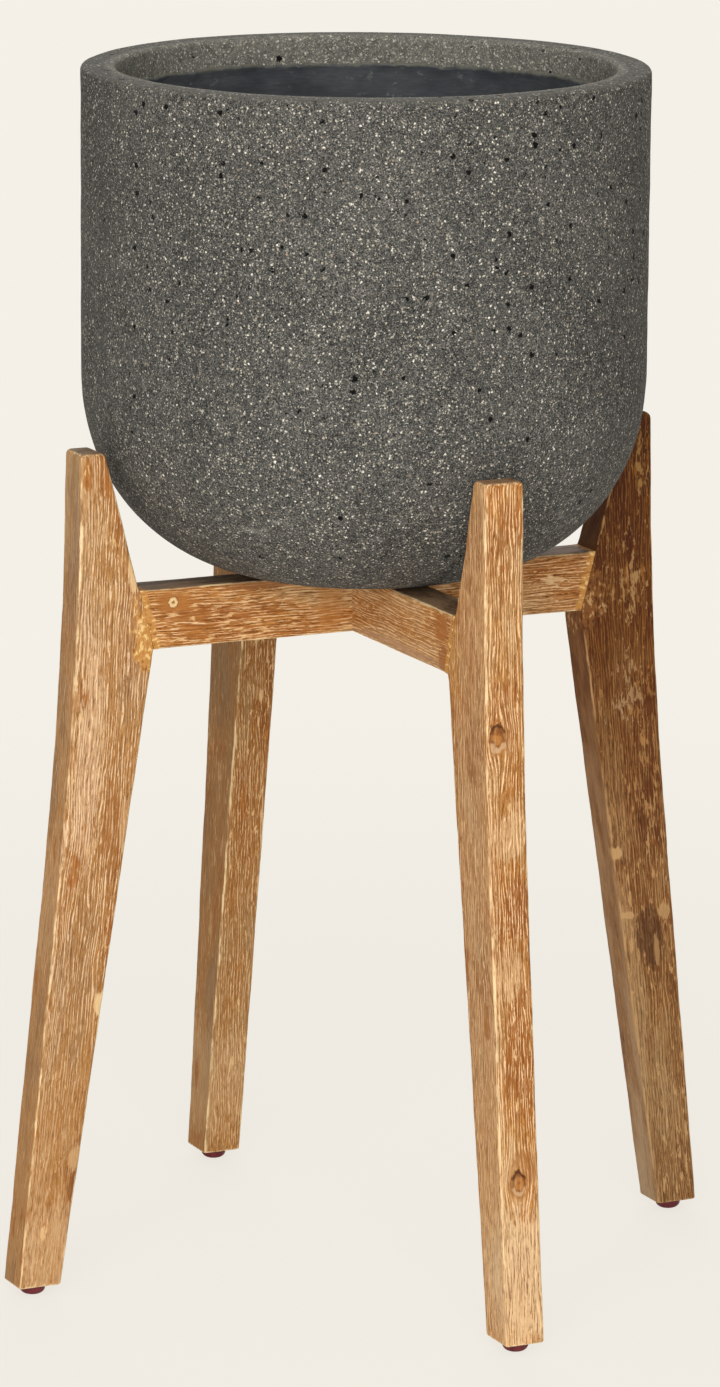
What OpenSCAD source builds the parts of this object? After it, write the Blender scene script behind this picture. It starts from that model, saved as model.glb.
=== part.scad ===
// Standing planter: a heavy round pot with a drawn-in bottom, resting on a wooden stand of four splayed
// legs and two crossed rails. Millimetres, +Z up, origin on the floor under the middle of the pot.
// The rails lie along X and Y, and each leg stands at the end of one.

/* [Pot] */
// Outer diameter of the pot's straight wall
pot_d = 350; // [330:5:400]
// Height of the pot from its flat base to its rim
pot_h = 313.5; // [260:0.5:360]
// Thickness of the wall and floor, which is also the width of the flat rim
wall_t = 21.5; // [14:0.5:26]
// Radius of the rim's two rounded edges
rim_round = 3; // [1:0.5:6]
// Radius of the first, gentle bend where the wall starts to draw in
shoulder_r = 160; // [130:5:200]
// Angle that the gentle bend turns through before the tighter one takes over
shoulder_turn = 13; // [6:1:20]
// Radius of the belly, which carries on down to the flat base
belly_r = 117; // [100:1:125]

/* [Inner coat] */
// Thickness of the waterproof coat inside the pot
coat_t = 0.8; // [0.4:0.1:2]
// Bare band left between the rim and the top of the coat
coat_drop = 17; // [8:1:40]

/* [Drain] */
// Diameter of the drain hole in the floor
drain_d = 20; // [12:1:26]
// Clearance round the plug's stem
plug_gap = 0.1; // [0.05:0.05:0.3]
// Width of the plug's flange past the hole on each side
plug_lip = 5; // [3:0.5:8]
// Thickness of the plug's flange
plug_flange_t = 3; // [2:0.5:5]
// Diameter of the plug's finger grip
plug_grip_d = 11; // [8:0.5:12]
// Height of the plug's finger grip above its flange
plug_grip_h = 8; // [5:0.5:12]
// How far the stem stops short of the pot's underside
plug_short = 2; // [1:0.5:4]

/* [Legs] */
// Height of the legs' tops above the floor
leg_h = 530; // [480:5:600]
// Thickness of the planks that the legs and rails are cut from
plank_t = 26; // [20:1:34]
// Gap between the pot's full width and the inner edge of each leg's top
leg_gap = 3.5; // [1:0.5:10]
// Width of a leg's flat top
top_w = 16.5; // [12:0.5:30]
// Radius of the rounded corners of a leg's top
top_round = 3; // [1:0.5:5]
// How far the inner edge slants in from a leg's top to its knee
wedge_run = 31.5; // [20:0.5:45]
// Lean of the outer edge above the bend, in degrees
upper_lean = 1.3; // [0:0.1:2.5]
// Height of the bend in the outer edge above the floor
bend_z = 380; // [340:5:410]
// Radius of the bend in the outer edge
bend_r = 2650; // [1500:50:2800]
// How far the foot's outer edge reaches out past the bend
foot_splay = 39.5; // [30:0.5:55]
// Width of a leg at its foot
foot_w = 28; // [22:0.5:36]

/* [Rails] */
// Height of the rails' upper faces, which the pot rests on
rail_top = 443; // [430:1:470]
// Height of a rail from its lower to its upper face
rail_h = 37.5; // [34:0.5:50]
// Clearance in the half-lap, on each side
lap_gap = 0.1; // [0.05:0.05:0.3]

/* [Tenons and pins] */
// Length of the loose tenon between a rail and a leg
tenon_len = 50; // [46:1:56]
// Height of the loose tenon
tenon_h = 28; // [24:1:30]
// Thickness of the loose tenon
tenon_t = 10; // [8:0.5:12]
// Glue clearance round a tenon, a pin and a screw
glue_gap = 0.1; // [0.05:0.05:0.2]
// Diameter of the pin that locks a tenon in its rail
pin_d = 7; // [5:0.5:8]
// Length of the pin, driven in from one face and cut flush
pin_len = 20; // [19:0.5:22]
// Distance of the pin from the joint, along the rail
pin_set = 20; // [14:0.5:22]
// Distance of the pin's centre below the tenon's upper edge
pin_edge = 4.25; // [4:0.25:8]

/* [Lap screw] */
// Diameter of the screw's shank
screw_d = 4; // [3.5:0.5:5]
// Length of the screw, head included
screw_len = 30; // [26:1:33]
// Diameter of the countersunk head
screw_head_d = 8; // [7:0.5:10]
// Depth of the drive recess in the head
recess_h = 1.5; // [1:0.25:2]

/* [Glides] */
// Diameter of a glide
glide_d = 16; // [14:0.5:20]
// Height of a glide below the foot
glide_h = 7; // [6:0.5:10]
// Height of the glide's straight rim
glide_rim_h = 2.5; // [1.5:0.5:3.5]
// Diameter of the flat that a glide stands on
glide_flat_d = 6; // [4:0.5:8]
// Diameter of the glide's nail
nail_d = 2; // [1.6:0.1:2.6]
// Length of the nail that goes into the foot
nail_len = 15; // [12:1:22]
// Diameter of the nail's head, moulded into the glide
nail_head_d = 6; // [4.5:0.5:7]
// Thickness of the nail's head
nail_head_t = 1.2; // [0.8:0.2:1.6]

/* [Hidden] */
pot_r = pot_d / 2;
drain_r = drain_d / 2;
// Centre of the belly's arc, over the edge of the flat base
base_r = pot_r - shoulder_r * (1 - cos(shoulder_turn)) - belly_r * cos(shoulder_turn);
// Height at which the straight wall starts
wall_z = belly_r + (shoulder_r - belly_r) * sin(shoulder_turn);
arc_steps = 10;
corner_steps = 6;
dome_steps = 9;

top_in = pot_r + leg_gap;
top_out = top_in + top_w;
rail_z = rail_top - rail_h;
rail_mid = rail_top - rail_h / 2;
knee_in = top_in - wedge_run;
bend_out = top_out + (leg_h - bend_z) * tan(upper_lean);
foot_out = bend_out + foot_splay;
foot_in = foot_out - foot_w;
splay = atan(foot_splay / (bend_z - glide_h));
glide_reach = foot_out - foot_w / 2;

tenon_mid = joint_r(rail_mid);
pin_z = rail_mid + tenon_h / 2 - pin_edge;
pin_reach = joint_r(pin_z) - pin_set;
// The cross recess in the screw's head: the width of its arms, and their length as a share of the head
recess_w = 1;
recess_share = 0.55;
point_h = screw_d;

// Turns a piece drawn for the leg at +X to each leg's own place
back_right = 0;
back_left = 90;
front_left = 180;
front_right = 270;
SIDES = [back_right, back_left, front_left, front_right];

stone = [0.35, 0.35, 0.33];
slate = [0.2, 0.21, 0.22];
wood = [0.55, 0.38, 0.25];
wood_dark = [0.45, 0.3, 0.19];
maroon = [0.33, 0.08, 0.09];
black = [0.1, 0.1, 0.1];
steel = [0.7, 0.7, 0.72];
$fn = 180;

// Points along a circle's arc, from angle a to angle b
function arc(centre, r, a, b, n = arc_steps) =
    [for (i = [0 : n]) let (t = a + (b - a) * i / n) centre + r * [cos(t), sin(t)]];

function backwards(list) = [for (i = [len(list) - 1 : -1 : 0]) list[i]];

// The pot's side from the edge of its base up to the straight wall, moved inwards by depth
function side(depth) = concat(
    arc([base_r, belly_r], belly_r - depth, -90, -shoulder_turn, 2 * arc_steps),
    arc([pot_r - shoulder_r, wall_z], shoulder_r - depth, -shoulder_turn, 0));

// Radius at which a leg's slanted inner edge, and so the end of a rail, lies at height z
function joint_r(z) = knee_in + (z - rail_z) * (top_in - knee_in) / (leg_h - top_round - rail_z);

// The leg's side view: x is the distance from the planter's axis, y is the height
function leg_outline() =
    let (tangent = bend_r * tan((splay - upper_lean) / 2),
         upper = [bend_out, bend_z] + tangent * [-sin(upper_lean), cos(upper_lean)],
         centre = upper + bend_r * [cos(upper_lean), sin(upper_lean)])
    concat([[foot_in, glide_h], [knee_in, rail_z]],
        arc([top_in + top_round, leg_h - top_round], top_round, 180, 90, corner_steps),
        arc([top_out - top_round, leg_h - top_round], top_round, 90, 0, corner_steps),
        arc(centre, bend_r, 180 + upper_lean, 180 + splay),
        [[foot_out, glide_h]]);

module on_side(angle) rotate([0, 0, angle]) children();

// A flat piece of the given thickness, standing up along X
module upright(thickness) rotate([90, 0, 0]) linear_extrude(thickness, center = true) children();

// The tenon, or with a clearance its mortise
module tenon_form(gap = 0) {
    round_r = tenon_t / 2 + gap;
    straight = tenon_h - tenon_t;
    translate([tenon_mid, 0, rail_mid]) {
        cube([tenon_len + 2 * gap, 2 * round_r, straight], center = true);
        for (end = [-1, 1]) translate([0, 0, end * straight / 2])
            rotate([0, 90, 0]) cylinder(h = tenon_len + 2 * gap, r = round_r, center = true);
    }
}

// The pin, flush with the rail's face on the +Y side of the leg at +X, or with a clearance its hole
module pin_form(gap = 0) translate([pin_reach, plank_t / 2, pin_z]) rotate([90, 0, 0])
    cylinder(h = pin_len + gap, r = pin_d / 2 + gap);

// The screw without its drive recess, or with a clearance its hole
module screw_form(gap = 0) translate([0, 0, rail_z]) rotate_extrude()
    polygon([[0, 0], [screw_head_d / 2 + gap, 0], [screw_d / 2 + gap, (screw_head_d - screw_d) / 2],
        [screw_d / 2 + gap, screw_len - point_h], [gap, screw_len + gap], [0, screw_len + gap]]);

// The nail with its head, or with a clearance its hole
module nail_form(gap = 0) translate([glide_reach, 0, glide_h]) {
    translate([0, 0, -glide_rim_h - gap])
        cylinder(h = nail_len + glide_rim_h + 2 * gap, r = nail_d / 2 + gap);
    translate([0, 0, -glide_rim_h - gap]) cylinder(h = nail_head_t + 2 * gap, r = nail_head_d / 2 + gap);
}

module pot_shell() color(stone) translate([0, 0, rail_top]) rotate_extrude()
    polygon(concat([[drain_r, 0]], side(0),
        arc([pot_r - rim_round, pot_h - rim_round], rim_round, 0, 90, corner_steps),
        arc([pot_r - wall_t + rim_round, pot_h - rim_round], rim_round, 90, 180, corner_steps),
        backwards(side(wall_t)), [[drain_r, wall_t]]));

module inner_coat() color(slate) translate([0, 0, rail_top]) rotate_extrude()
    polygon(concat([[drain_r, wall_t]], side(wall_t),
        [[pot_r - wall_t, pot_h - coat_drop], [pot_r - wall_t - coat_t, pot_h - coat_drop]],
        backwards(side(wall_t + coat_t)), [[drain_r, wall_t + coat_t]]));

module drain_plug() {
    seat = wall_t + coat_t;
    stem_r = drain_r - plug_gap;
    color(black) translate([0, 0, rail_top]) rotate_extrude()
        polygon([[0, plug_short], [stem_r, plug_short], [stem_r, seat],
            [drain_r + plug_lip, seat], [drain_r + plug_lip, seat + plug_flange_t],
            [plug_grip_d / 2, seat + plug_flange_t], [plug_grip_d / 2, seat + plug_flange_t + plug_grip_h],
            [0, seat + plug_flange_t + plug_grip_h]]);
}

module leg(angle) color(wood) on_side(angle) difference() {
    upright(plank_t) polygon(leg_outline());
    tenon_form(glue_gap);
    nail_form(glue_gap);
}

// A rail before its half-lap: both ends follow the slant of the legs
module rail_blank() difference() {
    upright(plank_t) polygon([[-joint_r(rail_z), rail_z], [joint_r(rail_z), rail_z],
        [joint_r(rail_top), rail_top], [-joint_r(rail_top), rail_top]]);
    for (angle = [back_right, front_left]) on_side(angle) {
        tenon_form(glue_gap);
        pin_form(glue_gap);
    }
    screw_form(glue_gap);
}

// The notch for the other rail, in the upper or the lower half
module lap_notch(z) translate([-plank_t / 2 - lap_gap, -plank_t, z])
    cube([plank_t + 2 * lap_gap, 2 * plank_t, rail_h / 2]);

module rail_left_right() color(wood) difference() {
    rail_blank();
    lap_notch(rail_mid);
}

module rail_front_back() color(wood) on_side(back_left) difference() {
    rail_blank();
    lap_notch(rail_z);
}

module tenon(angle) color(wood_dark) on_side(angle) difference() {
    tenon_form();
    pin_form(glue_gap);
}

module tenon_pins() color(wood_dark) for (angle = SIDES) on_side(angle) pin_form();

module lap_screw() color(steel) difference() {
    screw_form();
    for (angle = [0, 90]) on_side(angle) translate([0, 0, rail_z + recess_h / 2])
        cube([screw_head_d * recess_share, recess_w, recess_h], center = true);
}

module glide(angle) color(maroon) on_side(angle) difference() {
    glide_r = glide_d / 2;
    dome_h = glide_h - glide_rim_h;
    translate([glide_reach, 0, 0]) rotate_extrude()
        polygon(concat([[0, 0]],
            [for (i = [0 : dome_steps]) let (t = 90 * i / dome_steps)
                [glide_flat_d / 2 + (glide_r - glide_flat_d / 2) * sin(t), dome_h * (1 - cos(t))]],
            [[glide_r, glide_h], [0, glide_h]]));
    nail_form(glue_gap);
}

module glide_nails() color(steel) for (angle = SIDES) on_side(angle) nail_form();

pot_shell();
inner_coat();
drain_plug();
leg(front_left);  // leg_front_left
leg(front_right);  // leg_front_right
leg(back_right);  // leg_back_right
leg(back_left);  // leg_back_left
rail_left_right();
rail_front_back();
tenon(front_left);  // tenon_front_left
tenon(front_right);  // tenon_front_right
tenon(back_right);  // tenon_back_right
tenon(back_left);  // tenon_back_left
tenon_pins();
lap_screw();
glide(front_left);  // glide_front_left
glide(front_right);  // glide_front_right
glide(back_right);  // glide_back_right
glide(back_left);  // glide_back_left
glide_nails();
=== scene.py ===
from functools import reduce
from math import atan, cos, radians, sin, tan
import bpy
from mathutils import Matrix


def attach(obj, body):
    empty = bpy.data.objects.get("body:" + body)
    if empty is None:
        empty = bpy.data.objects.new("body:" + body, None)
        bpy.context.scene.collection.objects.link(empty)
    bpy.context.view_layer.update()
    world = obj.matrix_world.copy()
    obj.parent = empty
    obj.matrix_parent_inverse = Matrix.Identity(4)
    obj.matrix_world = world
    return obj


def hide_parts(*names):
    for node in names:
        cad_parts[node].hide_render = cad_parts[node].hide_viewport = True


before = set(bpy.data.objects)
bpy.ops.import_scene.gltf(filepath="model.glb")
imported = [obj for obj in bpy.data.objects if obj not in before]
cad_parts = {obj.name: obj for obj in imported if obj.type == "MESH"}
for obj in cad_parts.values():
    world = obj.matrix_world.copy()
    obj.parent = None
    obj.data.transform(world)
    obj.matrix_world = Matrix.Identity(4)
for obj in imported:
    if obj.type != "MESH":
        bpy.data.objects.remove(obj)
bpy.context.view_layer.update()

from types import SimpleNamespace

import bmesh
import bpy
import numpy as np
from mathutils import Matrix, Vector

mm = 0.001  # sizes are written in millimetres, colours as red, green and blue from 0 to 255


# Helpers for shapes

def waves(t, seed, longest, count=5):
    # uneven line: a sum of sines, each about half as long and half as high as the one before
    rng = np.random.default_rng(seed)
    total = np.zeros_like(t, dtype=float)
    for k in range(count):
        period = longest / 1.9 ** k * rng.uniform(0.85, 1.15)
        total += np.sin(2 * np.pi * (t / period + rng.random())) * 0.6 ** k
    return total / 2.2


def ringWaves(theta, seed, turns, count=5):
    # the same round a circle: whole numbers of waves, so that the end meets the start
    rng = np.random.default_rng(seed)
    total = np.zeros_like(theta, dtype=float)
    for k in range(count):
        n = round(turns * 1.9 ** k)
        total += np.sin(n * theta + 2 * np.pi * rng.random()) * 0.6 ** k
    return total / 2.2


def rise(x, low, high):
    # smooth step from 0 at low to 1 at high
    t = np.clip((x - low) / (high - low), 0, 1)
    return t * t * (3 - 2 * t)


def gridQuads(rows, cols, wrapRows):
    # the quads of a grid whose columns close on themselves, and whose rows may too
    i = np.arange(rows if wrapRows else rows - 1)[:, None]
    j = np.arange(cols)[None, :]
    nextI, nextJ = (i + 1) % rows, (j + 1) % cols
    corners = [i * cols + j, i * cols + nextJ, nextI * cols + nextJ, nextI * cols + j]
    return np.stack([np.broadcast_to(c, (i.shape[0], cols)) for c in corners], -1).reshape(-1, 4)


def addObject(name, data):
    item = bpy.data.objects.new(name, data)
    bpy.context.scene.collection.objects.link(item)
    return item


def keepValues(mesh, **attributes):
    # stores a number or a vector for every point
    for key, values in attributes.items():
        values = np.asarray(values, np.float32)
        kind, field = ("FLOAT_VECTOR", "vector") if values.ndim == 2 else ("FLOAT", "value")
        mesh.attributes.new(key, kind, "POINT").data.foreach_set(field, values.ravel())


def makePiece(name, points, quads, smoothAngle=38, **attributes):
    # puts the points and quads into a mesh, welds what lies together, and keeps a value per point
    weld, tiny = 0.004 * mm, 0.002 * mm
    mesh = bpy.data.meshes.new(name)
    mesh.from_pydata((np.asarray(points) * mm).tolist(), [], quads.tolist())
    keepValues(mesh, **attributes)
    bm = bmesh.new()
    bm.from_mesh(mesh)
    bmesh.ops.remove_doubles(bm, verts=bm.verts, dist=weld)
    bmesh.ops.dissolve_degenerate(bm, edges=bm.edges, dist=tiny)
    bmesh.ops.recalc_face_normals(bm, faces=bm.faces)
    bm.to_mesh(mesh)
    bm.free()
    mesh.shade_smooth()
    mesh.set_sharp_from_angle(angle=radians(smoothAngle))
    return addObject(name, mesh)


def dress(piece, material, body, node):
    # a finished piece gets its material, rides on its body and stands for a CAD node
    piece.data.materials.append(material)
    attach(piece, body)
    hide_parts(node)


def linePoints(a, b, step):
    # points from a towards b about one step apart, without the last
    a, b = np.array(a, float), np.array(b, float)
    n = max(1, round(np.linalg.norm(b - a) / step))
    return a + (b - a) * (np.arange(n) / n)[:, None]


def steps(a, b, step):
    # the same for numbers
    return linePoints((a,), (b,), step)[:, 0]


def arcPoints(centre, r, start, end, count):
    # points along an arc, angles in degrees, both ends included
    a = np.radians(np.linspace(start, end, count + 1))
    return np.stack([centre[0] + r * np.cos(a), centre[1] + r * np.sin(a)], -1)


def path(*parts):
    # joins single points and rows of points to one outline
    return np.concatenate([np.atleast_2d(np.array(part, float)) for part in parts])


def lathe(profile, around, shift=None):
    # an outline of (radius, height) rows turned round Z; shift(theta, radius, height) moves both
    theta = np.linspace(0, 2 * np.pi, around, endpoint=False)[None, :]
    radius = np.repeat(profile[:, :1], around, 1)
    height = np.repeat(profile[:, 1:2], around, 1)
    if shift is not None:
        dr, dz = shift(theta, radius, height)
        radius, height = radius + dr, height + dz
    return np.stack([radius * np.cos(theta), radius * np.sin(theta), height], -1).reshape(-1, 3)


def turned(points, angle):
    # points turned round Z, in degrees
    c, s = cos(radians(angle)), sin(radians(angle))
    x, y, z = points.T
    return np.stack([x * c - y * s, x * s + y * c, z], -1)


# Helpers for materials

def linear(colour):
    # a colour from 0 to 255 made linear; an output or a colour that is linear already stays
    if not isinstance(colour, tuple) or len(colour) != 3:
        return colour
    c = np.array(colour) / 255
    return (*np.where(c <= 0.04045, c / 12.92, ((c + 0.055) / 1.055) ** 2.4).tolist(), 1.0)


class Nodes:
    # a node tree that is being filled: each call adds to it and gives back an output

    def __init__(self, tree):
        self.tree = tree

    def put(self, kind, inputs=None, out=0, **settings):
        item = self.tree.nodes.new("ShaderNode" + kind)
        for key, value in settings.items():
            setattr(item, key, value)
        for key, value in (inputs or {}).items():
            if isinstance(value, bpy.types.NodeSocket):
                self.tree.links.new(value, item.inputs[key])
            else:
                item.inputs[key].default_value = value
        return item.outputs[out]

    def calc(self, operation, a, b=0.0, c=0.0, clamp=False):
        return self.put("Math", {0: a, 1: b, 2: c}, operation=operation, use_clamp=clamp)

    def times(self, *values):
        return reduce(lambda a, b: self.calc("MULTIPLY", a, b), values)

    def plus(self, *values):
        return reduce(lambda a, b: self.calc("ADD", a, b), values)

    def minus(self, a, b):
        return self.calc("SUBTRACT", a, b)

    def swing(self, value, weight):
        # a pattern's swing about its middle, weighted
        return self.times(self.minus(value, 0.5), weight)

    def fade(self, value, low, high, a=0.0, b=1.0):
        # smooth step from a at low to b at high
        inputs = {"Value": value, "From Min": low, "From Max": high, "To Min": a, "To Max": b}
        return self.put("MapRange", inputs, interpolation_type="SMOOTHSTEP")

    def over(self, amount, under, top, mode="MIX"):
        # lays one colour over another
        inputs = {0: amount, 6: linear(under), 7: linear(top)}
        return self.put("Mix", inputs, out=2, data_type="RGBA", blend_type=mode)

    def ramp(self, value, *stops):
        # colours along a value, each with its place
        item = self.put("ValToRGB", {"Fac": value}).node
        elements = item.color_ramp.elements
        while len(elements) < len(stops):
            elements.new(0.5)
        for element, (place, colour) in zip(elements, stops):
            element.position = place
            element.color = linear(colour)
        return item.outputs[0]

    def vector(self, operation, *values, out=0):
        return self.put("VectorMath", dict(enumerate(values)), out, operation=operation)

    def sized(self, vector, factor):
        return self.put("VectorMath", {0: vector, "Scale": factor}, operation="SCALE")

    def length(self, vector):
        return self.vector("LENGTH", vector, out=1)

    def away(self, vector, centre, sizes):
        # distance from a place, in units of the sizes
        return self.length(self.scaled(vector, sizes, tuple(-c / r for c, r in zip(centre, sizes))))

    def axes(self, vector):
        return self.put("SeparateXYZ", {0: vector}).node.outputs

    def attribute(self, name, out=2):
        return self.put("Attribute", out=out, attribute_name=name)

    def scaled(self, vector, sizes, offset=(0, 0, 0)):
        # coordinates in units of the sizes given
        inputs = {"Vector": vector, "Scale": tuple(1 / s for s in sizes), "Location": offset}
        return self.put("Mapping", inputs)

    def noise(self, vector, sizes, detail=2.0, rough=0.5, offset=(0, 0, 0), out=0):
        # cloudy pattern whose clouds have the sizes given, or one size each way
        sizes = sizes if isinstance(sizes, tuple) else (sizes,) * 3
        vector = self.scaled(vector, sizes, offset)
        return self.put("TexNoise", {"Vector": vector, "Scale": 1.0, "Detail": detail, "Roughness": rough}, out)

    def nudged(self, vector, pattern, amounts):
        # moves coordinates by a colour pattern that has its middle at 0.5
        centred = self.vector("SUBTRACT", pattern, (0.5, 0.5, 0.5))
        return self.vector("MULTIPLY_ADD", centred, amounts, vector)

    def specks(self, vector, size, share, small, large, soft, offset):
        # one grain in a share of the cells: how much of it covers the point, and a random number for it
        cells = self.put("TexVoronoi", {"Vector": self.scaled(vector, (size,) * 3, offset), "Scale": 1.0})
        lot = self.put("SeparateColor", {0: cells.node.outputs["Color"]}).node.outputs
        radius = self.calc("MULTIPLY_ADD", lot[1], (large - small) / size, small / size)
        inside = self.calc("DIVIDE", self.minus(radius, cells), soft / size, clamp=True)
        return self.times(inside, self.calc("LESS_THAN", lot[0], share)), lot[2]

    def toShader(self, colour, pattern, roughness, relief, strength, depth, specular=0.5, metallic=0.0):
        # colour, roughness between two values by a pattern, and bump by a relief with a depth in millimetres
        shader = self.tree.nodes["Principled BSDF"]
        rough = self.fade(pattern, 0.35, 0.65, *roughness)
        bump = self.put("Bump", {"Height": relief, "Strength": strength, "Distance": depth * mm})
        for key, value in (("Base Color", colour), ("Roughness", rough), ("Normal", bump)):
            self.tree.links.new(value, shader.inputs[key])
        shader.inputs["Specular IOR Level"].default_value = specular
        shader.inputs["Metallic"].default_value = metallic


def newMaterial(name):
    material = bpy.data.materials.new(name)
    material.use_nodes = True
    return material, Nodes(material.node_tree)


def newSurface(name):
    # a material with object coordinates in millimetres
    material, n = newMaterial(name)
    return material, n, n.sized(n.put("TexCoord", out=3), 1000)


def cloudedMaterial(name, sizes, detail, rough, stops, roughness, strength, depth, metallic=0.0):
    # two tones, the gloss and the relief all follow one cloudy pattern
    material, n, place = newSurface(name)
    cloud = n.noise(place, sizes, detail, rough)
    n.toShader(n.ramp(cloud, *stops), cloud, roughness, cloud, strength, depth, metallic=metallic)
    return material


# The pot: stone ground smooth, with pale and dark grains and pinholes

pot = dict(radius=175, base=443, height=313.5, wall=21.5, rimRound=3, shoulder=160, turn=13, belly=117,
           drain=10, around=360, step=3.0, stepInside=6.0, bellyArc=157, shoulderArc=36,  # lengths of the arcs
           wobble=0.25, ripple=0.18, rimWave=0.45, rimSink=0.21, drawnIn=0.3)
pot["wallZ"] = pot["belly"] + (pot["shoulder"] - pot["belly"]) * sin(radians(pot["turn"]))
pot["baseR"] = (pot["radius"] - pot["shoulder"] * (1 - cos(radians(pot["turn"])))
                - pot["belly"] * cos(radians(pot["turn"])))


def potSide(depth, step):
    # from the edge of the flat base up to the start of the straight wall, moved inwards by depth
    p = pot
    low = arcPoints((p["baseR"], p["belly"]), p["belly"] - depth, -90, -p["turn"],
                    round(p["bellyArc"] / step))
    high = arcPoints((p["radius"] - p["shoulder"], p["wallZ"]), p["shoulder"] - depth, -p["turn"], 0,
                     round(p["shoulderArc"] / step))
    return path(low, high[1:])


def buildPot():
    # closed outline: base, belly, wall, rounded rim, inside wall, floor, drain hole
    p = pot
    r, rim, inner, top = p["radius"], p["rimRound"], p["radius"] - p["wall"], p["height"]
    outside = potSide(0, p["step"])
    inside = potSide(p["wall"], p["stepInside"])[::-1]
    profile = path(
        linePoints((p["drain"], 0), outside[0], 6),
        outside[:-1],
        linePoints(outside[-1], (r, top - rim), p["step"]),
        arcPoints((r - rim, top - rim), rim, 0, 90, 6)[:-1],
        linePoints((r - rim, top), (inner + rim, top), 3),
        arcPoints((inner + rim, top - rim), rim, 90, 180, 6)[:-1],
        linePoints((inner, top - rim), inside[0], 4),
        inside[:-1],
        linePoints(inside[-1], (p["drain"], p["wall"]), 6),
        linePoints((p["drain"], p["wall"]), (p["drain"], 0), 5))

    def shift(theta, radius, height):
        # hand-ground unevenness of a few tenths, most of it at the rim, none on the seat
        free = rise(height, 12, 60) * rise(radius, 30, 60)
        nearRim = rise(height, top - 30, top)
        wobble = p["wobble"] * ringWaves(theta, 11, 3) + p["ripple"] * ringWaves(theta + height / 60, 12, 7)
        edge = p["rimWave"] * ringWaves(theta, 13, 5, 6) * nearRim
        sink = p["rimSink"] * nearRim * (1 + ringWaves(theta, 14, 4, 6))
        return free * wobble + edge - p["drawnIn"], -sink

    points = lathe(profile, p["around"], shift)
    points[:, 2] += p["base"]
    # 1 on the flat of the rim, 0 a few millimetres down either wall
    rimmed = rise(profile[:, 1], top - 2.6, top - 0.3)
    return makePiece("stone_pot", points, gridQuads(len(profile), p["around"], True),
                     rim=np.repeat(rimmed, p["around"]))


stoneTones = dict(
    ground=((0.3, (34, 33, 31)), (0.46, (64, 63, 60)), (0.55, (82, 81, 77)), (0.64, (99, 97, 91)),
            (0.76, (124, 121, 113))),
    # hole: near-black, painted shade inside the pinholes and pits
    # rim: paler tone for the flat of the rim and the bare band inside, partly their own tone and partly painted
    # light where the lamps leave them dark
    rim=(138, 136, 124), chip=(208, 201, 184), hole=(5, 5, 5), smudge=(160, 157, 149))
# cell, share of cells with a grain, smallest and largest radius, soft edge, offset, tones from common to rare
stoneGrains = (
    (1.15, 0.8, 0.26, 0.52, 0.22, (6, 2, 4),
     ((36, 34, 31), (104, 101, 93), (146, 141, 130), (208, 202, 188))),
    (1.8, 0.78, 0.3, 0.76, 0.22, (3, 1, 7),
     ((30, 28, 26), (120, 114, 104), (178, 170, 155), (238, 231, 214))),
    (2.9, 0.5, 0.34, 0.92, 0.26, (9, 4, 2),
     ((28, 26, 24), (146, 131, 112), (190, 180, 162), (242, 235, 219))),
    (4.4, 0.3, 0.4, 0.9, 0.28, (5, 8, 1),
     ((154, 126, 100), (194, 187, 170), (222, 216, 200), (246, 243, 231))),
    (10.0, 0.11, 0.55, 1.1, 0.3, (1, 5, 6),
     ((66, 60, 52), (150, 124, 100), (174, 168, 152), (216, 210, 194))))


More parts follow.
